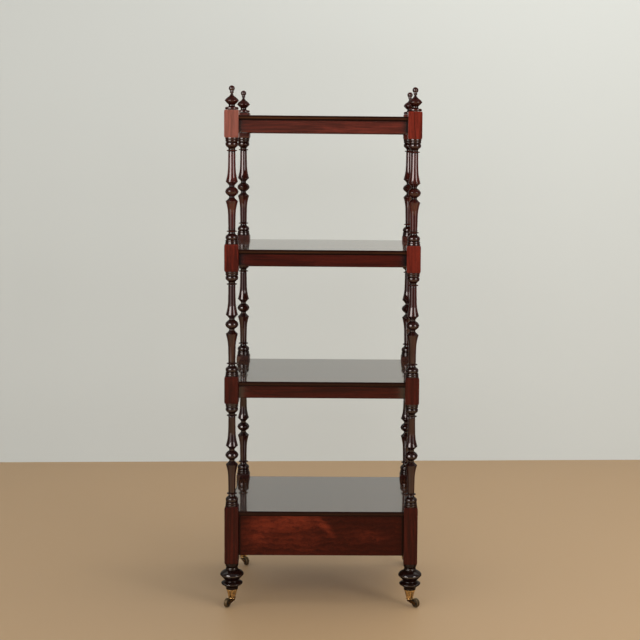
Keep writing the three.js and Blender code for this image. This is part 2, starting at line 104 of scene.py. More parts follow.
def power(name, description, watts):
    return FloatProperty(
        name=name, description=description, default=watts, min=0, unit="POWER")


class EtagereSizes(bpy.types.PropertyGroup):
    block_shoulder: length("Block Shoulder", "Height of a block above and below its tier", 13.4)
    slope_height: length("Slope Height", "Height of the sloped end of a block", 4)
    slope_inset: length("Slope Inset", "How far a block's end draws in over its slope", 1.2)
    arris: length("Arris", "Radius of the rubbed edges of the blocks and boards", 0.7)
    nose_depth: length("Nose Depth", "Depth of the rounded top edge of a shelf", 2.4)
    nose_height: length("Nose Height", "Height of the rounded top edge of a shelf", 3.2)
    quirk_height: length("Quirk Height", "Height of the set-back strip under a shelf's edge", 3)
    rail_bead: length("Rail Bead", "Radius of the rounded lower edge of a rail", 3)
    turned_columns: IntProperty(
        name="Turned Columns", description="Columns of faces round a turned piece",
        default=56, min=16, max=128)


class EtagereFinishes(bpy.types.PropertyGroup):
    wood_dark: colour("Dark Streaks", "Mahogany between its bright streaks", 72, 22, 13)
    wood_light: colour("Bright Streaks", "Mahogany where its grain is bright", 130, 44, 29)
    # Painted shade: the near-black colour painted on the shelves' edges
    edge_shade: colour("Edge Shade", "Dark polish on the shelves' edges", 28, 8, 4)
    # Wax and dirt in pores and hollows, also the colour of painted shade in hollows, at the rail
    # and veneer ends, on the turned stretches and back posts, and towards the floor
    wax_and_shade: colour("Old Wax and Shade", "Dark wax and dirt in the hollows", 24, 8, 5)
    rail_dark: colour("Dark Rail", "The rails' mahogany between its bright streaks", 56, 17, 9)
    rail_light: colour(
        "Bright Rail", "The rails' mahogany where its grain is bright", 104, 34, 21)
    # Painted sheen: pale painted reflections on the upper pieces
    bloom: colour("Bloom", "Pale haze in the old polish of the upper pieces", 170, 128, 112)
    shelf_dark: colour("Dark Shelf", "The shelves' wood between its bright streaks", 74, 40, 18)
    shelf_light: colour(
        "Bright Shelf", "The shelves' wood where its grain is bright", 112, 68, 32)
    flame_dark: colour("Flame Ground", "Dark ground of the drawer's veneer", 44, 12, 6)
    flame_bright: colour("Flame", "Bright figure of the drawer's veneer", 104, 38, 21)
    lining: colour("Drawer Lining", "Bare wood inside the carcass", 158, 116, 72)
    brass: colour("Brass", "Rubbed brass of the casters", 228, 190, 128)
    bronze: colour("Wheel Bronze", "Dull metal of the caster wheels", 112, 97, 74)


class EtagereStudio(bpy.types.PropertyGroup):
    floor: colour("Floor", "Colour of the floor", 177, 146, 109)
    wall: colour("Wall", "Colour of the wall behind", 206, 210, 206)
    room: FloatProperty(
        name="Room Light", description="Strength of the light from the room all round",
        default=0.8, min=0)
    mirrored_room: FloatProperty(
        name="Mirrored Room", description="Brightness of the room that polished surfaces mirror",
        default=0.08, min=0)
    key: power("Key", "Power of the soft lamp on the left", 5)
    front: power("Front", "Power of the broad lamp behind the camera", 82)
    fill: power("Fill", "Power of the soft lamp on the right", 24)
    overhead: power("Overhead", "Power of the broad lamp above", 26)
    windows: power("Windows", "Power of the windows that polished surfaces mirror", 66)
    focal_length: FloatProperty(
        name="Focal Length", description="Of the camera, in millimetres on a 36 mm sensor",
        default=75.9, min=10)


def sizes():
    return bpy.context.scene.etagere_sizes


def finishes():
    return bpy.context.scene.etagere_finishes


def studio():
    return bpy.context.scene.etagere_studio


# Shader trees


def find(sockets, key):
    """A node's socket by its number, its identifier or its name."""
    if isinstance(key, int):
        return sockets[key]
    return next((s for s in sockets if s.identifier == key), None) or sockets[key]


class Wire:
    """One output in a shader tree. Arithmetic on it adds Math nodes, or Vector Math nodes."""

    def __init__(self, recipe, socket):
        self.recipe = recipe
        self.socket = socket

    def combine(self, operation, first, second=0.0):
        if self.socket.type != "VECTOR":
            return self.recipe.node(
                "ShaderNodeMath", {"operation": operation}, {0: first, 1: second})
        widen = [(v,) * 3 if isinstance(v, (int, float)) else v for v in (first, second)]
        return self.recipe.node(
            "ShaderNodeVectorMath", {"operation": operation}, dict(enumerate(widen)))

    def __add__(self, other):
        return self.combine("ADD", self, other)

    def __sub__(self, other):
        return self.combine("SUBTRACT", self, other)

    def __mul__(self, other):
        return self.combine("MULTIPLY", self, other)

    __radd__ = __add__
    __rmul__ = __mul__

    def sine(self):
        return self.combine("SINE", self)

    def absolute(self):
        return self.combine("ABSOLUTE", self)


class Recipe:
    """A material being written: node() adds any node, and surface() ends the tree."""

    def __init__(self, name):
        self.material = bpy.data.materials.new(name)
        self.material.use_nodes = True
        self.tree = self.material.node_tree
        self.tree.nodes.clear()

    def feed(self, socket, value):
        if isinstance(value, Wire):
            self.tree.links.new(value.socket, socket)
        elif socket.type == "RGBA":
            socket.default_value = (*value[:3], 1)
        else:
            socket.default_value = value

    def node(self, kind, settings=None, inputs=None, output=0):
        made = self.tree.nodes.new(kind)
        for key, value in (settings or {}).items():
            setattr(made, key, value)
        for key, value in (inputs or {}).items():
            self.feed(find(made.inputs, key), value)
        return Wire(self, find(made.outputs, output))

    def attribute(self, name, output):
        return self.node("ShaderNodeAttribute", {"attribute_name": name}, output=output)

    def noise(self, place, scale=1.0, detail=2.0, roughness=0.5):
        """Noise from about 0.3 to 0.7 at a place."""
        return self.node("ShaderNodeTexNoise", None, {
            "Vector": place, "Scale": scale, "Detail": detail, "Roughness": roughness}, "Fac")

    def ease(self, value, low, high, start=0.0, end=1.0):
        """Runs smoothly from start to end while the value goes from low to high."""
        return self.node("ShaderNodeMapRange", {"interpolation_type": "SMOOTHSTEP"}, {
            "Value": value, "From Min": low, "From Max": high, "To Min": start, "To Max": end})

    def mix(self, share, first, second, blend="MIX"):
        """Colours, or their product, and so on as the blend says."""
        return self.node("ShaderNodeMix", {"data_type": "RGBA", "blend_type": blend}, {
            "Factor_Float": share, "A_Color": first, "B_Color": second}, "Result_Color")

    def height(self):
        """How high a point is on its piece, from the floor where the piece rests."""
        place = self.node("ShaderNodeTexCoord", output="Object")
        return self.node("ShaderNodeSeparateXYZ", None, {0: place}, "Z")

    def spot(self, place, centre, reach):
        """1 at a centre, dying away to 0 at the reach along each axis."""
        away = (place - centre) * tuple(1 / part for part in reach)
        far = self.node("ShaderNodeVectorMath", {"operation": "LENGTH"}, {0: away}, "Value")
        return self.ease(far, 1, 0)

    def bump(self, height, strength, distance=0.2 * MM):
        return self.node("ShaderNodeBump", None, {
            "Height": height, "Strength": strength, "Distance": distance})

    def surface(self, inputs):
        """Ends the tree in a Principled shader with these inputs."""
        shader = self.node("ShaderNodeBsdfPrincipled", None, inputs)
        return self.finish(shader)

    def finish(self, shader):
        output = self.tree.nodes.new("ShaderNodeOutputMaterial")
        self.tree.links.new(shader.socket, output.inputs["Surface"])
        return self.material


# Painted shade, darker towards the floor: from the top to the floor, share of the wax colour
DOWNWARD_SHADE = (1.3, 0.5, 0.0, 0.76)
RAIL_DOWNWARD_SHADE = (1.25, 0.9, 0.0, 0.58)
RIM_REACH = (0.14, 0.52)  # how far a surface turns away before the coat is at its rim's share


def polished_wood(name, dark, light, wax_and_shade, shine):
    """French-polished wood. Long noise along the grain makes its streaks, a finer one its pores,
    and the relief and shade carried by the mesh darkens hollows, partly as wax and partly as
    painted shade, paints shade where the mesh sets it, and rubs edges lighter. The wood is painted
    darker towards the floor as painted shade, and a pale painted sheen, a painted reflection, is
    mixed in where the mesh asks for it. The shine says how strong the coat is on the flat and in
    hollows, and what share of it is left where it is seen edge on."""
    recipe = Recipe(name)
    grain = recipe.attribute("grain", "Vector")
    relief = recipe.attribute("relief", "Fac")
    drift = recipe.noise(grain * (2.5, 14, 14), detail=2)
    streaks = recipe.noise(grain * (7, 190, 190) + drift * 5, detail=4, roughness=0.6)
    pores = recipe.noise(grain * (90, 1700, 1700), detail=1)
    figure = recipe.ease(streaks * 0.75 + drift * 0.45, 0.42, 0.8)
    wood = recipe.mix(figure, dark, light)
    wood = recipe.mix(recipe.ease(pores, 0.56, 0.66, 0, 0.45), wood, wax_and_shade)
    # wax in hollows, and painted shade where the relief and shade is low
    wood = recipe.mix(recipe.ease(relief, 0, -1), wood, wax_and_shade)
    wood = recipe.mix(recipe.ease(relief, 0.25, 1, 0, 0.35), wood, light)
    # painted shade: the wood darker towards the floor
    wood = recipe.mix(recipe.ease(recipe.height(), *shine["painted_shade"]), wood, wax_and_shade)
    # painted sheen: a pale painted reflection
    bloom = recipe.attribute("bloom", "Fac") * recipe.ease(streaks, 0.3, 0.7, 0.7, 1.1)
    wood = recipe.mix(bloom, wood, finishes().bloom)
    height = streaks * 0.5 + pores * 0.5
    coat = recipe.ease(relief, 0, -0.5, shine["flat"], shine["hollow"])
    edge_on = recipe.node("ShaderNodeLayerWeight", None, {"Blend": 0.5}, "Facing")
    return recipe.surface({
        "Base Color": wood,
        "Roughness": recipe.ease(streaks, 0.3, 0.7, 0.42, 0.3),
        "Specular IOR Level": 0.03,
        "Coat Weight": coat * recipe.ease(edge_on, *RIM_REACH, 1, shine["rim"]),
        "Coat Roughness": shine["roughness"],
        "Coat IOR": shine["index"],
        "Normal": recipe.bump(height, shine["bump"]),
    })


# The drawer's figure, as places and reaches in metres
VENEER_SHADED_ENDS = (0.2115, 0.2165)  # from the middle, where painted shade darkens the two ends beside the posts
FLAME_LEAN = 0.77  # how far the streak moves right for each step down
FLAME_LINES = (0, 0, 420)  # fine wavy lines, as radians for each metre up
FLAME_STREAK = (0.62, (0.174, -0.18, 0.218), (0.026, 1, 0.045))
FLAME_PATCHES = (  # strength, centre, reach
    (0.85, (-0.085, -0.18, 0.238), (0.13, 1, 0.05)),
    (0.5, (-0.165, -0.18, 0.205), (0.06, 1, 0.07)),
    (0.34, (-0.08, -0.18, 0.18), (0.22, 1, 0.08)),
    (0.3, (0.125, -0.18, 0.19), (0.09, 1, 0.03)),
)


def flame_veneer(name, looks):
    """Figured veneer: a bright plume under the top edge left of the middle, a streak that leans
    down from it to the right, and dimmer patches, all bent by one broad noise and broken up by
    waves and a fine ripple."""
    recipe = Recipe(name)
    place = recipe.node("ShaderNodeTexCoord", output="Object")
    bend = recipe.noise(place * 22, detail=3, roughness=0.6)
    bent = place + (bend - 0.5) * 0.03
    lean = recipe.node("ShaderNodeCombineXYZ", None, {"X": recipe.height() * FLAME_LEAN})
    strength, centre, reach = FLAME_STREAK
    patches = recipe.spot(bent + lean, centre, reach) * strength
    for strength, centre, reach in FLAME_PATCHES:
        patches = patches + recipe.spot(bent, centre, reach) * strength
    waves = recipe.noise(bent * (34, 34, 95), detail=5, roughness=0.62)
    ripple = recipe.noise(place * (230, 70, 70) + waves * 6, detail=2)
    pores = recipe.noise(place * (260, 260, 1300), detail=1)
    lines = (bent * FLAME_LINES + waves * 9).sine()
    fine = recipe.node("ShaderNodeSeparateXYZ", None, {0: lines}, "Z")
    patches = patches * recipe.ease(waves, 0.3, 0.66, 0.55, 1.15)
    figure = patches + waves * 0.3 + ripple * 0.2 + fine * 0.07
    wood = recipe.mix(recipe.ease(figure, 0.1, 1.3), looks.flame_dark, looks.flame_bright)
    wood = recipe.mix(recipe.ease(pores, 0.56, 0.68, 0, 0.5), wood, looks.wax_and_shade)
    aside = recipe.node("ShaderNodeSeparateXYZ", None, {0: place}, "X").absolute()
    # painted shade at the two ends, beside the posts
    wood = recipe.mix(recipe.ease(aside, *VENEER_SHADED_ENDS, 0, 0.92), wood, looks.wax_and_shade)
    return recipe.surface({
        "Base Color": wood,
        "Roughness": recipe.ease(waves, 0.3, 0.7, 0.4, 0.28),
        "Specular IOR Level": 0.02,
        "Coat Weight": 0.22,
        "Coat Roughness": 0.12,
        "Coat IOR": 1.5,
        "Normal": recipe.bump(ripple * 0.5 + pores * 0.5, 0.12),
    })


def bare_wood(name, looks):
    """Unpolished wood inside the carcass, with open grain and a little dust."""
    recipe = Recipe(name)
    grain = recipe.attribute("grain", "Vector")
    streaks = recipe.noise(grain * (6, 150, 150), detail=4, roughness=0.6)
    patches = recipe.noise(grain * (7, 16, 16), detail=3)
    pores = recipe.noise(grain * (70, 1200, 1200), detail=1)
    deep = tuple(part * 0.55 for part in looks.lining)
    wood = recipe.mix(recipe.ease(streaks * 0.7 + patches * 0.5, 0.42, 0.78), deep, looks.lining)
    wood = recipe.mix(recipe.ease(pores, 0.56, 0.66, 0, 0.5), wood, deep)
    return recipe.surface({
        "Base Color": wood,
        "Roughness": recipe.ease(patches, 0.35, 0.65, 0.62, 0.8),
        "Normal": recipe.bump(streaks + pores, 0.3),
    })


def old_metal(name, clean, tarnish, low, high, dents=0.25):
    """Rubbed metal: bright where it is handled, tarnished in blotches and in its corners."""
    recipe = Recipe(name)
    grain = recipe.attribute("grain", "Vector")
    relief = recipe.attribute("relief", "Fac")
    blotches = recipe.noise(grain * 160, detail=4, roughness=0.65)
    specks = recipe.noise(grain * 900, detail=2)
    dull = recipe.ease(blotches + relief * -0.3 + specks * 0.12, 0.42, 0.78)
    return recipe.surface({
        "Base Color": recipe.mix(dull, clean, tarnish),
        "Metallic": recipe.ease(dull, 0, 1, 1.0, 0.75),
        "Roughness": recipe.ease(dull, 0, 1, low, high),
        "Normal": recipe.bump(blotches * 0.7 + specks * 0.3, dents),
    })


def make_finishes():
    """Every material by name, made once from the finishes' colours."""
    looks = finishes()
    wood = (looks.wood_dark, looks.wood_light, looks.wax_and_shade)
    polish = {"flat": 0.18, "hollow": 1.0, "rim": 0.12, "roughness": 0.07, "index": 1.7,
              "bump": 0.08, "painted_shade": DOWNWARD_SHADE}
    rail = {**polish, "painted_shade": RAIL_DOWNWARD_SHADE}
    turned = {**polish, "rim": 0.03, "roughness": 0.04, "index": 1.75, "bump": 0.03}
    gloss = {**polish, "flat": 1.0, "hollow": 0.2, "rim": 0.06, "roughness": 0.035, "index": 2.1,
             "bump": 0.03}
    mirror = {**gloss, "hollow": 0.08, "rim": 1.0, "roughness": 0.07, "index": 2.35}
    black = tone(20, 8, 5)
    ember = tone(44, 14, 8)
    return {
        "mahogany": polished_wood("mahogany", *wood, polish),
        "finial": polished_wood("finial_polish", *wood, turned),
        "rail": polished_wood("rail_polish", looks.rail_dark, looks.rail_light, looks.wax_and_shade, rail),
        "shelf": polished_wood("shelf_polish", looks.shelf_dark, looks.shelf_light,
                               looks.edge_shade, mirror),
        "blackened": polished_wood("blackened_wood", black, ember, black, gloss),
        "veneer": flame_veneer("flame_veneer", looks),
        "lining": bare_wood("drawer_wood", looks),
        "brass": old_metal("caster_brass", looks.brass, tone(66, 40, 18), 0.09, 0.32, 0.9),
        "horn": old_metal("horn_brass", tone(96, 68, 38), tone(38, 26, 15), 0.3, 0.55),
        "bronze": old_metal("wheel_bronze", looks.bronze, tone(56, 46, 32), 0.5, 0.7),
    }


FINISHES = {}


def finish_named(name):
    if not FINISHES:
        FINISHES.update(make_finishes())
    return FINISHES[name]


# Meshes

SHARP_ANGLE = math.radians(34)
GRAIN_ORDERS = {"x": (0, 1, 2), "y": (1, 0, 2), "z": (2, 0, 1)}
GRAIN_SHIFT = np.array([0.731, 0.417, 0.293])  # one board's grain from the next, in metres


def vertex_places(mesh):
    places = np.empty(len(mesh.vertices) * 3, np.float32)
    mesh.vertices.foreach_get("co", places)
    return places.reshape(-1, 3)


def add_floats(mesh, name, values):
    """Gives each vertex a number under a name that the materials read."""
    numbers = mesh.attributes.new(name, "FLOAT", "POINT")
    numbers.data.foreach_set("value", np.asarray(values, np.float32))


class Shells:
    """Closed surfaces gathered into one mesh. Each is a grid of points with a relief and shade for
    each, which is -1 in a deep hollow or where painted shade is darkest, 0 on the flat and 1 on a
    rubbed edge."""

    def __init__(self):
        self.points = []
        self.relief = []
        self.faces = []
        self.count = 0

    def add(self, grid, relief=0.0, ring=False):
        """Columns turn left round the way that the rows go. The two ends are closed by a face
        each, or the last row joins the first where the grid is a ring."""
        rows, columns = grid.shape[:2]
        last = rows if ring else rows - 1
        row, column = np.meshgrid(np.arange(last), np.arange(columns), indexing="ij")
        beside = (column + 1) % columns
        above = (row + 1) % rows
        quads = np.stack([
            row * columns + column, row * columns + beside,
            above * columns + beside, above * columns + column], axis=-1)
        self.faces += (quads.reshape(-1, 4) + self.count).tolist()
        if not ring:
            first = np.arange(columns) + self.count
            self.faces += [first[::-1].tolist(), (first + (rows - 1) * columns).tolist()]
        self.points.append(grid.reshape(-1, 3))
        self.relief.append(np.broadcast_to(relief, (rows, columns)).reshape(-1))
        self.count += rows * columns
        return self

    def piece(self, name, finish, grain="z", seed=0):
        mesh = bpy.data.meshes.new(name)
        mesh.from_pydata(np.concatenate(self.points).tolist(), [], self.faces)
        mesh.polygons.foreach_set("use_smooth", np.ones(len(mesh.polygons), bool))
        mesh.set_sharp_from_angle(angle=SHARP_ANGLE)
        add_floats(mesh, "relief", np.concatenate(self.relief))
        return dressed(mesh, name, finish, grain, seed)


def dressed(mesh, name, finish, grain, seed):
    """A finished object: the grain is the place itself, with the board's length put first and a
    shift of its own for each piece, so that no two pieces look cut from one spot."""
    ordered = vertex_places(mesh)[:, GRAIN_ORDERS[grain]] + GRAIN_SHIFT * seed
    along = mesh.attributes.new("grain", "FLOAT_VECTOR", "POINT")
    along.data.foreach_set("vector", ordered.astype(np.float32).ravel())
    mesh.materials.append(finish_named(finish))
    mesh.update()
    made = bpy.data.objects.new(name, mesh)
    bpy.context.scene.collection.objects.link(made)
    return made


def add_painted_sheen(made, share, low, block=None):
    """Paints a pale painted sheen, a painted reflection, on what stands above a height, or only on
    what has the blocks' relief there.
    """
    mesh = made.data
    chosen = vertex_places(mesh)[:, 2] > low
    if block is not None:
        relief = np.empty(len(mesh.vertices), np.float32)
        mesh.attributes["relief"].data.foreach_get("value", relief)
        chosen &= np.isclose(relief, block)
    add_floats(mesh, "bloom", np.where(chosen, share, 0))


def place_piece(made, body, slot, *nodes):
    """The piece moves with a body and stands for the nodes, which are hidden. The slot is not used.
    """
    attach(made, body)
    if nodes:
        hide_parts(*nodes)
    return made


def turning(rows, start_radius):
    """A turned outline in millimetres. Each row (height, radius, swell, bead) is reached from the
    last by a line on which swell adds half a sine and bead adds half an ellipse."""
    heights, radii = [np.zeros(1)], [np.full(1, float(start_radius))]
    height_before, radius_before = 0.0, start_radius
    for height, radius, swell, bead in rows:
        rise = abs(height - height_before) + abs(radius - radius_before)
        curved = max(4, math.ceil(rise / 1.2)) if swell else 1
        steps = 10 if bead else curved
        turn = np.linspace(0, math.pi, steps + 1)[1:]
        share = (1 - np.cos(turn)) / 2 if bead else turn / math.pi
        heights.append(height_before + (height - height_before) * share)
        radii.append(radius_before + (radius - radius_before) * share
                     + swell * np.sin(math.pi * share) + bead * np.sin(turn))
        height_before, radius_before = height, radius
    return np.stack([np.concatenate(heights), np.concatenate(radii)], axis=1)


def relief_of(heights, radii, reach=3.0, depth=1.6):
    """How far each point of an outline stands out of, or lies in, the average round it: the
    average weighs its neighbours by a bell of the given reach, all in millimetres."""
    even = np.arange(heights.min(), heights.max() + 0.5, 0.5)
    order = np.argsort(heights, kind="stable")
    level = np.interp(even, heights[order], radii[order])
    span = np.arange(-4 * reach, 4 * reach + 0.5, 0.5)
    bell = np.exp(-(span / reach) ** 2)
    padded = np.pad(level, len(span) // 2, mode="edge")
    smooth = np.convolve(padded, bell / bell.sum(), mode="valid")[: len(even)]
    return np.clip((radii - np.interp(heights, even, smooth)) / depth, -1, 1)


def around(columns):
    """Angles once round, evenly, with more of them at a square block's four arrises."""
    even = np.linspace(0, 2 * math.pi, columns, endpoint=False)
    corner = np.arctan2(HALF_BLOCK - sizes().arris, HALF_BLOCK)
    quarter = math.pi / 4
    offsets = (quarter - corner) * np.array([-2, -1, -0.5, 0, 0.5, 1, 2])
    extra = (quarter + offsets)[:, None] + np.arange(4) * math.pi / 2
    return np.unique(np.round(np.concatenate([even, extra.ravel()]), 6))


def square_reach(half, rounding, angles):
    """Distance from the middle of a rounded square to its edge: half over the larger of cosine
    and sine on a face, and the far crossing with the corner's circle at an arris."""
    major = np.maximum(np.abs(np.cos(angles)), np.abs(np.sin(angles)))
    minor = np.minimum(np.abs(np.cos(angles)), np.abs(np.sin(angles)))
    half = half[:, None]
    face = half / major
    core = half - rounding
    sum_part = core * (major + minor)
    corner = sum_part + np.sqrt(np.maximum(sum_part ** 2 - 2 * core ** 2 + rounding ** 2, 0))
    return np.where(face * minor <= core, face, corner)


def lathe(outline, origin, columns, relief, axis=(0, 0, 1)):
    """Turns an outline of heights and radii, in millimetres, about an axis through its origin:
    along Z, or level. Each row's relief goes all the way round."""
    axis = np.array(axis, float)
    across = np.array((1, 0, 0) if axis[2] > 0.5 else (0, 0, 1), float)
    angles = np.linspace(0, 2 * math.pi, columns, endpoint=False)[None, :, None]
    round_about = np.cos(angles) * across + np.sin(angles) * np.cross(axis, across)
    outline = np.asarray(outline, float) * MM
    heights, radii = outline[:, 0, None, None], outline[:, 1, None, None]
    grid = np.array(origin) + heights * axis + radii * round_about
    return grid, np.asarray(relief)[..., None]


# Posts

BALUSTER_HALF = 138.45  # half a baluster's length, to which the rows below run
BULB_RADIUS = 17.4
BULB_DROP = 1.6  # how far the bulb in the middle hangs lower than halfway
BULB_DROP_REACH = 60
# From the middle of a baluster outwards: height, radius, swell, bead
BALUSTER_ROWS = (
    (0.8, 17.1, 0, 0),
    (11.6, 8.2, 2.0, 0),
    (12.4, 7.2, 0, 0),
    (16.0, 7.2, 0, 0),
    (24.4, 15.2, -0.3, 0),
    (25.2, 16.0, 0, 0),
    (26.0, 15.8, 0, 0.1),
    (60.0, 10.0, -1.2, 0),
    (101.6, 9.3, -0.1, 0),
    (102.6, 8.9, 0, 0),
    (103.4, 10.6, 0, 0),
    (106.4, 10.6, 0, 3.1),
    (107.2, 8.7, 0, 0),
    (110.6, 9.2, -0.2, 0),
    (115.4, 14.2, -0.6, 0),
    (116.4, 14.7, 0, 0),
    (126.0, 14.8, 0, 1.8),
    (126.9, 14.3, 0, -0.3),
    (127.9, 16.1, 0, 0),
    (131.8, 16.4, 0, 0.45),
    (132.5, 15.9, 0, -0.2),
    (133.0, 16.7, 0, 0),
    (138.45, 17.1, 0.25, 0),
)
# Painted shade: the turned stretches are painted darker than the flats: height from the middle,
# shade
BALUSTER_SHADES = ((0, -0.78), (24, -0.78), (34, -0.6), (95, -0.6), (107, -0.82), (139, -0.82))
# painted shade of the finials
FINIAL_SHADE = -0.78
RELIEF_SHARE = 0.15  # of the outline's own relief that shows through the shade
END_SHADE = -0.6  # of a block's two ends
BACK_SHADE = -0.58  # painted shade of the back posts' blocks, which are painted darker than the front ones
# painted sheen, a painted reflection, on the back posts' blocks
BACK_SHEEN = 0.07
TOP_SHEEN = 0.3  # painted sheen, a painted reflection of the left lamp, on the front left post's top block
RAIL_SHEEN = 0.05  # painted sheen, a painted reflection, on the top front rail


def turned_shade(outline, shift):
    """The relief of a turned outline, dulled and shifted dark, as painted shade."""
    return np.clip(relief_of(outline[:, 0], outline[:, 1]) * RELIEF_SHARE + shift, -1, 1)


def block_rows(bottom, top):
    """Heights and half widths up a block: its two sloped ends, each crease eased by two rows."""
    slope = sizes().slope_height
    ease = slope / 8
    full, end = HALF_BLOCK, HALF_BLOCK - sizes().slope_inset
    dip = sizes().slope_inset / 16
    heights = [0, slope - ease, slope, slope + ease, slope + 2 * ease]
    halves = [end, full - 2 * dip, full - dip / 2, full, full]
    low = [(bottom + h, half) for h, half in zip(heights, halves)]
    high = [(top - h, half) for h, half in zip(heights[::-1], halves[::-1])]
    return np.array(low + high)


def post_levels(block_shade):
    """All the levels of a post from its lowest block up: height, size, whether square, relief."""
    shoulder = sizes().block_shoulder
    tops = [high.z + shoulder for low, high in SHELF_BOXES]
    tops[-1] = POST_HIGH.z
    bottoms = [bottom - shoulder for bottom in RAIL_BOTTOMS]
    bottoms[0] = POST_LOW.z
    outline = turning(BALUSTER_ROWS, BULB_RADIUS)
    outline = np.concatenate([outline[:0:-1] * (-1, 1), outline])
    shade = turned_shade(outline, np.interp(np.abs(outline[:, 0]), *zip(*BALUSTER_SHADES)))
    outline[:, 0] -= BULB_DROP * np.exp(-(outline[:, 0] / BULB_DROP_REACH) ** 2)
    levels = []
    for tier, (bottom, top) in enumerate(zip(bottoms, tops)):
        block = block_rows(bottom, top)
        rows = len(block)
        painted_shade = np.full(rows, block_shade)
        painted_shade[[0, -1]] = END_SHADE
        levels.append(np.stack([block[:, 0], block[:, 1], np.ones(rows), painted_shade], axis=1))
        if tier + 1 < len(tops):
            middle = (top + bottoms[tier + 1]) / 2
            stretch = (bottoms[tier + 1] - top) / 2 / BALUSTER_HALF
            heights = middle + outline[:, 0] * stretch
            turned = [heights, outline[:, 1] * MM, np.zeros(len(outline)), shade]
            levels.append(np.stack(turned, axis=1))
    return np.concatenate(levels)


def make_post(name, corner, seed):
    behind = corner[1] > 0
    levels = post_levels(BACK_SHADE if behind else 0)
    angles = around(sizes().turned_columns)
    reach = np.where(levels[:, 2:3] > 0, square_reach(levels[:, 1], sizes().arris, angles),
                     levels[:, 1:2])
    grid = np.stack([
        corner[0] * POST_X + reach * np.cos(angles),
        corner[1] * POST_Y + reach * np.sin(angles),
        np.repeat(levels[:, 0:1], len(angles), axis=1)], axis=-1)
    post = Shells().add(grid, levels[:, 3:4]).piece(f"turned_post_{name}", "mahogany", "z", seed)
    if name == "fl":
        add_painted_sheen(post, TOP_SHEEN, RAIL_BOTTOMS[-1] - sizes().block_shoulder - HAIR)
    elif behind:
        add_painted_sheen(post, BACK_SHEEN, RAIL_BOTTOMS[1], BACK_SHADE)
    return place_piece(post, "carcass", "post_mahogany", f"post_{name}")


# Finials and feet

FINIAL_BASE = 15.8
# From the base of a finial up: height, radius, swell, bead
FINIAL_ROWS = (
    (0.9, 16.9, 0, 0),
    (5.2, 16.9, 0, 0.5),
    (6.2, 15.6, 0, 0),
    (7.0, 10.0, 0, 0),
    (8.0, 8.6, 0, 0),
    (11.6, 7.9, -0.2, 0),
    (12.6, 8.2, 0, 0),
    (21.6, 17.3, 0.5, 0),
    (24.4, 17.3, 0, 0.8),
    (29.6, 13.2, 0.3, 0),
    (34.5, 6.6, 0, 0),
    (38.0, 4.0, -0.2, 0),
    (40.6, 2.9, 0, 0),
    (42.0, 3.2, 0, 0),
    (42.4, 4.6, 0, 0),
    (43.2, 4.8, 0, 0),
    (49.0, 4.9, 0, 0),
)
BALL_RADIUS = 7.75
BALL_CENTRE = 54.25
BALL_TIP = 0.3  # radius of the small flat that ends the ball
DOWEL_RADIUS = 5.7
DOWEL_LENGTH = 18
DOWEL_EASE = 1  # how far a dowel's end draws in, and over what length


def with_ball(outline):
    """Ends a finial in its ball: an arc from where the stem meets it up to its top."""
    start = -math.acos(outline[-1, 1] / BALL_RADIUS)
    turn = np.linspace(start, math.pi / 2, 16)[1:-1]
    ball = np.stack([BALL_CENTRE + BALL_RADIUS * np.sin(turn), BALL_RADIUS * np.cos(turn)], axis=1)
    tip = [[BALL_CENTRE + BALL_RADIUS, BALL_TIP]]
    return np.concatenate([outline, ball, tip])


def make_finial(name, corner, seed):
    outline = with_ball(turning(FINIAL_ROWS, FINIAL_BASE))
    shade = turned_shade(outline, FINIAL_SHADE)
    dowel = np.array([
        [-DOWEL_LENGTH, DOWEL_RADIUS - DOWEL_EASE], [DOWEL_EASE - DOWEL_LENGTH, DOWEL_RADIUS],
        [0, DOWEL_RADIUS]])
    outline = np.concatenate([dowel, outline])
    shade = np.concatenate([[-1, -1, -1], shade])
    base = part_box(f"finial_{name}")[1].z - (BALL_CENTRE + BALL_RADIUS) * MM
    origin = (corner[0] * POST_X, corner[1] * POST_Y, base)
    shells = Shells().add(*lathe(outline, origin, sizes().turned_columns, shade))
    finial = shells.piece(f"turned_finial_{name}", "finial", "z", seed)
    return place_piece(finial, "carcass", "post_mahogany", f"finial_{name}")


FOOT_BASE = 15.8
# From the socket's rim up: height, radius, swell, bead
FOOT_ROWS = (
    (4.0, 16.2, 0, 0),
    (7.0, 18.0, -0.3, 0),
    (13.5, 26.6, -0.8, 0),
    (15.8, 28.0, 0, 0.3),
    (17.6, 28.0, 0, 0.4),
    (21.0, 21.8, 0.8, 0),
    (22.2, 19.4, -0.2, 0),
    (25.6, 18.8, -0.4, 0),
    (28.0, 21.0, -0.2, 0),
    (38.2, 30.4, 0.4, 0),
    (42.6, 30.5, 0, 0.7),
    (51.0, 19.8, 1.9, 0),
    (52.4, 16.6, 0, 0),
    (53.0, 15.5, 0, 0),
    (56.0, 15.5, 0, 0.7),
    (56.6, 15.0, 0, 0),
    (59.2, 15.1, 0, 0.6),
    (59.8, 15.4, 0, 0),
    (71.1, 17.4, 1.0, 0),
)
FOOT_NECKS = (11, 60)  # below and above these heights the foot is painted dark and its coat dulled: partly dirt, partly painted shade for the shadowed floor that it mirrors
NECK_SHADE = -0.8
FOOT_LENGTH = 71.1  # from the socket's rim to the block, to which the rows run
FOOT_DOWEL_RADIUS = 8
FOOT_DOWEL_LENGTH = 22
TIP_RADII = (9.0, 12.6)  # of the part in the socket, at its end and under the rim
RIM_DROP = 0.3  # from the foot's lowest row to where it draws in to the socket
RIM_STEP = 0.2


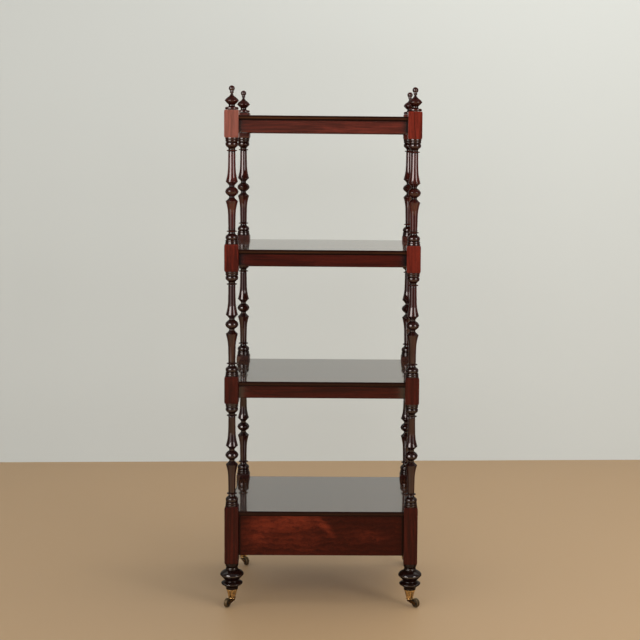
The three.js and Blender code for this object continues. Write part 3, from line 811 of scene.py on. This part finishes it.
def make_foot(name, corner, seed):
    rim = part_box(f"caster_socket_{name}")[1].z
    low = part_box(f"foot_{name}")[0].z
    top = POST_LOW.z - SEAT
    outline = turning(FOOT_ROWS, FOOT_BASE)
    shade = np.clip(relief_of(outline[:, 0], outline[:, 1]) * 0.8 - 0.1, -1, 1)
    low_neck, high_neck = FOOT_NECKS
    shade[(outline[:, 0] < low_neck) | (outline[:, 0] > high_neck)] = NECK_SHADE
    outline[:, 0] *= (top - rim - SEAT) / (FOOT_LENGTH * MM)
    tip = np.array([
        [(low - rim) / MM, TIP_RADII[0]], [-RIM_DROP, TIP_RADII[1]], [0, FOOT_BASE - RIM_STEP]])
    head = outline[-1, 0]
    dowel = np.array([
        [head, FOOT_DOWEL_RADIUS], [head + FOOT_DOWEL_LENGTH - DOWEL_EASE, FOOT_DOWEL_RADIUS],
        [head + FOOT_DOWEL_LENGTH, FOOT_DOWEL_RADIUS - DOWEL_EASE]])
    outline = np.concatenate([tip, outline, dowel])
    shade = np.concatenate([np.zeros(3), shade, np.zeros(3)])
    origin = (corner[0] * POST_X, corner[1] * POST_Y, rim + SEAT)
    shells = Shells().add(*lathe(outline, origin, sizes().turned_columns, shade))
    foot = shells.piece(f"turned_foot_{name}", "blackened", "z", seed)
    return place_piece(foot, "carcass", "blackened_foot", f"foot_{name}")


# Shelves and rails

NOSE_GUARD = 1.5 * MM  # from the nose in to the row that keeps the top flat


def shelf_outline(low, high, inset, notch):
    """A shelf's outline, left round from its front left: the edges draw in, the notches stay."""
    (x0, y0), (x1, y1) = (low.x + inset, low.y + inset), (high.x - inset, high.y - inset)
    nx, ny = notch
    return [(-nx, y0), (nx, y0), (nx, -ny), (x1, -ny), (x1, ny), (nx, ny),
            (nx, y1), (-nx, y1), (-nx, ny), (x0, ny), (x0, -ny), (-nx, -ny)]


def shelf_edge(thick):
    """Levels of a shelf's edge as height, inset and relief: the strip under it, its rubbed lower
    arris, and the nose, a quarter of an ellipse, with a guard row inside it on the flat. The
    reliefs paint the whole edge dark as painted shade, darkest on the strip as a painted shadow."""
    size = sizes()
    turn = np.linspace(0, math.pi / 2, 7)
    projection = SHELF_BOXES[0][1].x - RAIL_FACE_X
    arris = size.arris
    low = [(0, projection, -0.8), (size.quirk_height, projection, -1.0)]
    lower = [(size.quirk_height + arris * (1 - math.cos(t)), arris * (1 - math.sin(t)), -0.85)
             for t in turn[::3]]
    start = thick - size.nose_height
    middle = [((size.quirk_height + start) / 2, 0, -0.5)]
    nose = [(start + size.nose_height * math.sin(t), size.nose_depth * (1 - math.cos(t)), -0.85)
            for t in turn]
    guard = [(thick, size.nose_depth + NOSE_GUARD, 0.0)]
    return low + lower + middle + nose + guard


def make_shelf(number, seed):
    low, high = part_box(f"shelf_{number}")
    notch = (POST_X - HALF_BLOCK - SEAT, POST_Y - HALF_BLOCK - SEAT)
    levels = shelf_edge(high.z - low.z)
    grid = np.array([
        [(x, y, low.z + height) for x, y in shelf_outline(low, high, inset, notch)]
        for height, inset, relief in levels])
    relief = np.array([[relief] for height, inset, relief in levels])
    board = Shells().add(grid, relief).piece(f"moulded_shelf_{number}", "shelf", "x", seed)
    return place_piece(board, "carcass", "polished_shelf", f"shelf_{number}")


def rail_section(height):
    """A rail's section seen from its right end, face to the left: depth behind the face, and
    height. The lower arris is a quarter round, and the other three are barely rubbed."""
    size = sizes()
    bead, arris = size.rail_bead, size.arris
    turn = np.linspace(0, math.pi / 2, 7)
    lower = [(bead * (1 - math.cos(t)), bead * (1 - math.sin(t))) for t in turn]
    rubbed = [(arris * (1 - math.sin(t)), arris * (1 - math.cos(t))) for t in turn[::3]]
    back_low = [(RAIL_THICK - far, near) for far, near in rubbed]
    back_high = [(RAIL_THICK - near, height - far) for far, near in rubbed]
    front_high = [(far, height - near) for far, near in rubbed]
    guards = [(0, height - 2 * arris), (0, bead * 1.4)]
    return np.array(lower + back_low + back_high + front_high + guards)


END_STEPS = np.array([0, 4, 6, 12, 20, 34]) * MM  # places near a rail's end, for the painted shade that the posts cast on it
END_SHADES = np.array([-1, -1, -0.6, -0.35, -0.15, 0])


def rail_grid(span, height):
    """A rail along X with its face on -Y at y = 0, its middle at x = 0 and its foot at z = 0."""
    stations = np.concatenate([END_STEPS - span / 2, (span / 2 - END_STEPS)[::-1]])
    shades = np.concatenate([END_SHADES, END_SHADES[::-1]])
    section = rail_section(height)
    grid = np.empty((len(stations), len(section), 3))
    grid[..., 0] = stations[:, None]
    grid[..., 1] = section[:, 0]
    grid[..., 2] = section[:, 1]
    return grid, np.repeat(shades[:, None], len(section), axis=1)


RAIL_SIDES = {
    "front": (0, "x"), "right": (90, "y"), "back": (180, "x"), "left": (270, "y"),
}


def make_rail(node, side, seed):
    """A rail or an apron, turned to its side of the carcass about the middle of the piece."""
    degrees, along = RAIL_SIDES[side]
    low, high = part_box(node)
    face, half = (RAIL_FACE_Y, POST_X) if along == "x" else (RAIL_FACE_X, POST_Y)
    span = 2 * (half - HALF_BLOCK - SEAT)
    grid, relief = rail_grid(span, high.z - low.z)
    grid = grid + (0, -face, low.z)
    turn = np.array(Matrix.Rotation(math.radians(degrees), 3, "Z"))
    rail = Shells().add(grid @ turn.T, relief).piece(f"moulded_{node}", "rail", along, seed)
    if node == "rail_front_1":
        add_painted_sheen(rail, RAIL_SHEEN, 0)
    return place_piece(rail, "carcass", "rail_mahogany", node)


# Drawer and the woods that carry it


def eased_copy(node, name, finish, grain, seed, width=0.4 * MM):
    """A joiner's board from its node: the loose triangles are merged, flat faces become one, and
    a bevel rubs every arris."""
    mesh = frame["nodes"][node].data.copy()
    mesh.name = name
    mesh.materials.clear()
    work = bmesh.new()
    work.from_mesh(mesh)
    bmesh.ops.remove_doubles(work, verts=work.verts, dist=0.01 * MM)
    bmesh.ops.dissolve_limit(work, angle_limit=math.radians(1), verts=work.verts, edges=work.edges)
    work.to_mesh(mesh)
    work.free()
    mesh.polygons.foreach_set("use_smooth", np.zeros(len(mesh.polygons), bool))
    add_floats(mesh, "relief", np.zeros(len(mesh.vertices)))
    made = dressed(mesh, name, finish, grain, seed)
    bevel = made.modifiers.new("rubbed arrises", "BEVEL")
    bevel.width = width
    bevel.segments = 2
    bevel.limit_method = "ANGLE"
    bevel.angle_limit = math.radians(40)
    return made


CARCASS_WOODS = {  # node: the way its grain runs, and whether it moves with the drawer
    "bearer": ("x", False), "runner_left": ("y", False), "runner_right": ("y", False),
    "guide_left": ("y", False), "guide_right": ("y", False),
    "drawer_side_left": ("y", True), "drawer_side_right": ("y", True),
    "drawer_back": ("x", True), "drawer_bottom": ("x", True),
}


def make_drawer_front():
    front = eased_copy("drawer_front", "veneered_drawer_front", "veneer", "x", 3, 0.8 * MM)
    return place_piece(front, "drawer", "flame_veneer", "drawer_front")


def make_carcass_wood(node, seed):
    grain, moves = CARCASS_WOODS[node]
    board = eased_copy(node, f"plain_{node}", "lining", grain, seed)
    return place_piece(board, "drawer" if moves else "carcass", "drawer_wood", node)


# Casters


CUP_BASE = 10.0
# From a socket's foot up its outside: height, radius, swell, bead
CUP_ROWS = (
    (2.0, 10.0, 0, 0.5),
    (2.4, 9.2, 0, 0),
    (22.4, 14.4, -0.2, 0),
    (23.0, 15.1, 0, 0),
    (25.5, 15.1, 0, 0.2),
)
# Back down its inside, as heights and radii
CUP_INSIDE = ((25.5, 13.9), (3.0, 8.3), (3.0, 3.3), (0.0, 3.3))
# The disc on the horn and the headed pivot over it, from the horn's heel
PIVOT_OUTLINE = (
    (0, 5.4), (0.6, 6.0), (3.2, 6.4), (3.6, 8.0), (5.0, 8.0), (5.4, 7.6), (5.4, 3.0), (9.0, 3.0),
    (9.0, 4.6), (9.8, 4.4), (10.6, 3.4),
)
HORN_ROOT = 4.0  # half the length of a horn's arm where it leaves the disc
HORN_HEEL = 5.4  # its height there
BOSS_RADIUS = 4.5
ARM_INSIDE, ARM_OUTSIDE = 5.2, 7.2
ARM_EASE = 0.5
ARM_DROP = 0.2  # from the disc's face down to the arms
PIN_HEAD = ((8.7, 2.2), (8.4, 2.8), (7.9, 3.0), (7.5, 3.0), (7.5, 1.8))
# From one face of the wheel over its tread to the other, and back through its bore
WHEEL_ROWS = (
    (0.3, 11.2, 0, 0), (1.6, 12.0, 0.25, 0), (4.5, 12.26, 0, 0), (7.4, 12.0, 0, 0),
    (8.7, 11.2, 0.25, 0), (9.0, 10.2, 0, 0), (8.2, 9.2, 0, 0), (8.0, 5.2, 0, 0), (8.6, 4.2, 0, 0),
    (8.6, 2.1, 0, 0), (0.4, 2.1, 0, 0), (0.4, 4.2, 0, 0), (1.0, 5.2, 0, 0), (0.8, 9.2, 0, 0),
    (0.0, 10.2, 0, 0),
)
SMALL_COLUMNS = 40


class CasterPlace:
    """Where a caster stands: its pivot on the floor, its axle, and the way that it trails."""

    def __init__(self, name):
        swivel, spin = (next(j for j in frame["joints"] if j["name"] == f"{kind}_{name}")
                        for kind in ("swivel", "spin"))
        self.pivot = np.array(swivel["pos_m"], float) * (1, 1, 0)
        self.middle = np.array(spin["pos_m"], float)
        self.axle = np.array(spin["axis"], float) / np.linalg.norm(spin["axis"])
        self.trail = np.cross((0, 0, 1), self.axle)
        self.reach = np.dot(self.middle - self.pivot, self.trail) / MM
        if self.reach < 0:
            self.axle, self.trail, self.reach = -self.axle, -self.trail, -self.reach
        self.height = self.middle[2] / MM

    def points(self, along, across, up):
        """Places in metres from millimetres along the trail, along the axle and up."""
        parts = [np.asarray(part, float)[..., None] * MM for part in (along, across, up)]
        return self.pivot + parts[0] * self.trail + parts[1] * self.axle + parts[2] * (0, 0, 1)


def drawn_in(outline, distance):
    """A closed outline of points, left round, moved inwards by a distance at every point."""
    tangent = np.roll(outline, -1, axis=0) - np.roll(outline, 1, axis=0)
    tangent /= np.linalg.norm(tangent, axis=1)[:, None]
    return outline + np.stack([-tangent[:, 1], tangent[:, 0]], axis=1) * distance


def plate(place, outline, start, end):
    """A plate cut to an outline of places along the trail and heights, from one place along the
    axle to another, with its arrises rubbed."""
    inner = drawn_in(outline, ARM_EASE)
    rows = [(inner, start), (outline, start + ARM_EASE), (outline, end - ARM_EASE), (inner, end)]
    grid = np.stack([place.points(o[:, 0], np.full(len(o), across), o[:, 1]) for o, across in rows])
    return grid[:, ::-1], np.array([[0.1], [0.5], [0.5], [0.1]])


def horn_outline(place, top):
    """The arm's outline, left round: the heel, a hollow sweep down to the boss round the axle,
    and the sweep back up under it."""
    turn = np.linspace(-2 * math.pi / 3, math.pi / 3, 15)
    boss = np.stack([place.reach + BOSS_RADIUS * np.cos(turn),
                     place.height + BOSS_RADIUS * np.sin(turn)], axis=1)
    heel = np.array([[-HORN_ROOT, top], [-HORN_ROOT, top - HORN_HEEL]])
    lower = heel[1] + (boss[0] - heel[1]) * np.linspace(0, 1, 6)[1:-1, None]
    root = np.array([[HORN_ROOT, top]])
    upper = boss[-1] + (root[0] - boss[-1]) * np.linspace(0, 1, 6)[1:-1, None]
    return np.concatenate([heel, lower, boss, upper, root])


def make_cup(name, corner, seed):
    low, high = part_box(f"caster_socket_{name}")
    outline = turning(CUP_ROWS, CUP_BASE)
    shade = relief_of(outline[:, 0], outline[:, 1], 1.5, 0.8)
    outline = np.concatenate([outline, CUP_INSIDE])
    shade = np.concatenate([shade, np.zeros(len(CUP_INSIDE))])
    origin = (corner[0] * POST_X, corner[1] * POST_Y, low.z)
    grid, relief = lathe(outline, origin, sizes().turned_columns, shade)
    cup = Shells().add(grid, relief, ring=True).piece(f"caster_cup_{name}", "brass", "z", seed)
    return place_piece(cup, "carcass", "caster_brass", f"caster_socket_{name}")


def make_fork(name, place, seed):
    """The horn: its disc and pivot, and an arm either side of the wheel."""
    top = (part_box(f"caster_socket_{name}")[0].z - SEAT) / MM
    origin = place.points(0, 0, top - HORN_HEEL)
    pivot = np.array(PIVOT_OUTLINE)
    shells = Shells().add(*lathe(pivot, origin, SMALL_COLUMNS, np.zeros(len(pivot))))
    arm = horn_outline(place, top - ARM_DROP)
    shells.add(*plate(place, arm, ARM_INSIDE, ARM_OUTSIDE))
    shells.add(*plate(place, arm, -ARM_OUTSIDE, -ARM_INSIDE))
    fork = shells.piece(f"caster_fork_{name}", "horn", "z", seed)
    return place_piece(fork, f"caster_{name}", "caster_brass", f"caster_horn_{name}")


def make_pin(name, place, seed):
    head = np.array(PIN_HEAD)
    outline = np.concatenate([head * (-1, 1), head[::-1]])
    grid = lathe(outline, place.middle, SMALL_COLUMNS, np.zeros(len(outline)), place.axle)
    pin = Shells().add(*grid).piece(f"caster_pin_{name}", "horn", "z", seed)
    return place_piece(pin, f"caster_{name}", "caster_brass", f"caster_axle_{name}")


def make_wheel(name, place, seed):
    rows = np.array(WHEEL_ROWS)
    outline = turning(rows[:9], rows[-1, 1])
    outline = np.concatenate([outline, rows[9:-1, :2]])
    shade = np.where(outline[:, 1] > 9.5, 0.4, -0.5)
    start = place.middle - place.axle * np.ptp(rows[:, 0]) / 2 * MM
    grid, relief = lathe(outline, start, SMALL_COLUMNS, shade, place.axle)
    shells = Shells().add(grid, relief, ring=True)
    wheel = shells.piece(f"caster_roller_{name}", "bronze", "z", seed)
    return place_piece(wheel, f"wheel_{name}", "wheel_bronze", f"caster_wheel_{name}")


# Stage


class CameraPlace:
    """Where the camera stands and how it looks, fitted to the posts in the photograph."""

    place = (0.0894, -3.6962, 1.2338)
    yaw = math.radians(0.982)  # towards +X
    pitch = math.radians(5.06)  # down
    roll = math.radians(0.54)
    centre = (380, 262)  # the pixel that the lens looks straight at


def make_camera():
    fit = CameraPlace
    forward = Vector((math.sin(fit.yaw) * math.cos(fit.pitch),
                      math.cos(fit.yaw) * math.cos(fit.pitch), -math.sin(fit.pitch)))
    level = Vector((math.cos(fit.yaw), -math.sin(fit.yaw), 0))
    rise = level.cross(forward)
    right = level * math.cos(fit.roll) + rise * math.sin(fit.roll)
    up = rise * math.cos(fit.roll) - level * math.sin(fit.roll)
    data = bpy.data.cameras.new("camera")
    data.sensor_width = 36
    data.lens = studio().focal_length
    data.shift_x = (IMAGE_SIDE / 2 - fit.centre[0]) / IMAGE_SIDE
    data.shift_y = (fit.centre[1] - IMAGE_SIDE / 2) / IMAGE_SIDE
    data.clip_end = 50
    camera = bpy.data.objects.new("camera", data)
    basis = Matrix((right, up, -forward)).transposed()
    camera.matrix_world = Matrix.Translation(fit.place) @ basis.to_4x4()
    bpy.context.scene.collection.objects.link(camera)
    bpy.context.scene.camera = camera


def plane(name, corners, material):
    mesh = bpy.data.meshes.new(name)
    mesh.from_pydata(corners, [], [(0, 1, 2, 3)])
    mesh.materials.append(material)
    made = bpy.data.objects.new(name, mesh)
    bpy.context.scene.collection.objects.link(made)
    return made


WALL_Y = 1.459  # where the wall meets the floor behind the middle
WALL_SLANT = 0.0394  # how much farther away it is for each step to the right
ROOM_REACH = 7


def make_floor():
    recipe = Recipe("studio_floor")
    material = recipe.surface({"Base Color": studio().floor, "Roughness": 0.55})
    r = ROOM_REACH
    plane("studio_floor", [(-r, -r, 0), (r, -r, 0), (r, r, 0), (-r, r, 0)], material)


def make_wall():
    """A wall that shows from the front only, so that views from behind see past it."""
    recipe = Recipe("studio_wall")
    paint = recipe.node("ShaderNodeBsdfDiffuse", None, {"Color": studio().wall})
    clear = recipe.node("ShaderNodeBsdfTransparent")
    behind = recipe.node("ShaderNodeNewGeometry", output="Backfacing")
    shader = recipe.node("ShaderNodeMixShader", None, {0: behind, 1: paint, 2: clear})
    material = recipe.finish(shader)
    r = ROOM_REACH
    left, right = WALL_Y - WALL_SLANT * r, WALL_Y + WALL_SLANT * r
    plane("studio_wall", [(-r, left, 0), (r, right, 0), (r, right, r), (-r, left, r)], material)


WINDOW_TINT = (1.0, 0.9, 0.86)


def make_lamp(name, place, aim, size, watts, mirrored=False):
    """A soft lamp that only lights surfaces, or one that is only mirrored in polished ones."""
    data = bpy.data.lights.new(name, "AREA")
    data.shape = "RECTANGLE"
    data.size, data.size_y = size
    data.energy = watts
    if mirrored:
        data.color = WINDOW_TINT
    lamp = bpy.data.objects.new(name, data)
    lamp.visible_diffuse = not mirrored
    lamp.visible_glossy = mirrored
    lamp.location = place
    lamp.rotation_euler = (Vector(aim) - Vector(place)).to_track_quat("-Z", "Y").to_euler()
    bpy.context.scene.collection.objects.link(lamp)


MIDDLE = (0, 0, 0.75)
LAMPS = (  # the studio's name for its power, place, aim, size
    ("key", (-1.75, -2.4, 1.8), MIDDLE, (1.0, 1.5)),
    ("fill", (2.3, -2.1, 1.8), MIDDLE, (0.8, 1.4)),
    ("front", (0.3, -5.0, 1.15), MIDDLE, (4.0, 2.4)),
    ("overhead", (1.2, 0.2, 3.1), (0.6, 0.7, 0.2), (2.4, 2.2)),
)
WINDOWS = (  # name, place, size, share of the windows' power
    ("left_window", (-1.75, -2.4, 1.85), (2.0, 1.5), 1.0),
    ("left_window_low", (-1.75, -2.4, 0.6), (2.0, 0.9), 0.1),
    ("right_window", (2.3, -2.1, 1.8), (1.3, 1.4), 0.4),
    ("right_window_low", (2.3, -2.1, 0.6), (1.3, 0.9), 0.05),
)


def make_lights():
    for name, place, aim, size in LAMPS:
        make_lamp(f"{name}_lamp", place, aim, size, getattr(studio(), name))
    for name, place, size, share in WINDOWS:
        make_lamp(name, place, (0, 0, place[2]), size, studio().windows * share, mirrored=True)


def make_world():
    """Even light from all round, which polished surfaces mirror as a darker room."""
    world = bpy.data.worlds.new("room")
    world.use_nodes = True
    nodes = world.node_tree.nodes
    background = nodes["Background"]
    background.inputs["Color"].default_value = (1, 1, 1, 1)
    path = nodes.new("ShaderNodeLightPath")
    strength = nodes.new("ShaderNodeMapRange")
    strength.inputs["To Min"].default_value = studio().room
    strength.inputs["To Max"].default_value = studio().mirrored_room
    world.node_tree.links.new(path.outputs["Is Glossy Ray"], strength.inputs["Value"])
    world.node_tree.links.new(strength.outputs["Result"], background.inputs["Strength"])
    bpy.context.scene.world = world


# Operators


class ETAGERE_OT_stage(bpy.types.Operator):
    """Sets up the floor, the wall, the soft lamps and the camera"""

    bl_idname = "etagere.stage"
    bl_label = "Studio"

    def execute(self, context):
        context.scene.view_settings.view_transform = "Standard"
        make_floor()
        make_wall()
        make_lights()
        make_world()
        make_camera()
        return {"FINISHED"}


class ETAGERE_OT_posts(bpy.types.Operator):
    """Makes the four turned posts"""

    bl_idname = "etagere.posts"
    bl_label = "Turned Posts"

    def execute(self, context):
        for seed, (name, corner) in enumerate(CORNERS.items()):
            make_post(name, corner, seed)
        return {"FINISHED"}


class ETAGERE_OT_finials(bpy.types.Operator):
    """Makes the four finials and the four ringed feet"""

    bl_idname = "etagere.finials"
    bl_label = "Finials and Feet"

    def execute(self, context):
        for seed, (name, corner) in enumerate(CORNERS.items()):
            make_finial(name, corner, seed + 5)
            make_foot(name, corner, seed + 9)
        return {"FINISHED"}


class ETAGERE_OT_shelves(bpy.types.Operator):
    """Makes the four shelves with their moulded edges"""

    bl_idname = "etagere.shelves"
    bl_label = "Shelves"

    def execute(self, context):
        for number in SHELF_NUMBERS:
            make_shelf(number, number + 13)
        return {"FINISHED"}


class ETAGERE_OT_rails(bpy.types.Operator):
    """Makes the moulded rails under the shelves and the aprons round the drawer"""

    bl_idname = "etagere.rails"
    bl_label = "Rails and Aprons"

    def execute(self, context):
        seed = 20
        for side in RAIL_SIDES:
            for number in (1, 2, 3):
                make_rail(f"rail_{side}_{number}", side, seed)
                seed += 1
            if side != "front":
                make_rail(f"apron_{side}", side, seed)
                seed += 1
        return {"FINISHED"}


class ETAGERE_OT_drawer(bpy.types.Operator):
    """Makes the drawer with its veneered front, and the woods that carry it"""

    bl_idname = "etagere.drawer"
    bl_label = "Drawer"

    def execute(self, context):
        make_drawer_front()
        for seed, node in enumerate(CARCASS_WOODS):
            make_carcass_wood(node, seed + 40)
        return {"FINISHED"}


class ETAGERE_OT_casters(bpy.types.Operator):
    """Makes the four casters: a cup, a horn, a pin and a wheel each"""

    bl_idname = "etagere.casters"
    bl_label = "Casters"

    def execute(self, context):
        for seed, (name, corner) in enumerate(CORNERS.items()):
            place = CasterPlace(name)
            make_cup(name, corner, seed + 60)
            make_fork(name, place, seed + 64)
            make_pin(name, place, seed + 68)
            make_wheel(name, place, seed + 72)
        return {"FINISHED"}


OPERATORS = (
    ETAGERE_OT_stage, ETAGERE_OT_posts, ETAGERE_OT_finials, ETAGERE_OT_shelves,
    ETAGERE_OT_rails, ETAGERE_OT_drawer, ETAGERE_OT_casters,
)


class ETAGERE_PT_panel(bpy.types.Panel):
    """Lists the etagere's sizes, finishes, studio and operators"""

    bl_idname = "ETAGERE_PT_panel"
    bl_label = "Etagere"
    bl_space_type = "VIEW_3D"
    bl_region_type = "UI"
    bl_category = "Etagere"

    def draw(self, context):
        for group in (sizes(), finishes(), studio()):
            column = self.layout.column()
            for key in group.__annotations__:
                column.prop(group, key)
        for operator in OPERATORS:
            self.layout.operator(operator.bl_idname)


GROUPS = {
    "etagere_sizes": EtagereSizes, "etagere_finishes": EtagereFinishes,
    "etagere_studio": EtagereStudio,
}


def register():
    for name, group in GROUPS.items():
        bpy.utils.register_class(group)
        setattr(bpy.types.Scene, name, PointerProperty(type=group))
    for operator in OPERATORS:
        bpy.utils.register_class(operator)
    bpy.utils.register_class(ETAGERE_PT_panel)


def unregister():
    bpy.utils.unregister_class(ETAGERE_PT_panel)
    for operator in reversed(OPERATORS):
        bpy.utils.unregister_class(operator)
    for name, group in reversed(GROUPS.items()):
        delattr(bpy.types.Scene, name)
        bpy.utils.unregister_class(group)


def main():
    register()
    bpy.ops.etagere.stage()
    bpy.ops.etagere.posts()
    bpy.ops.etagere.finials()
    bpy.ops.etagere.shelves()
    bpy.ops.etagere.rails()
    bpy.ops.etagere.drawer()
    bpy.ops.etagere.casters()


if __name__ == "__main__":
    main()
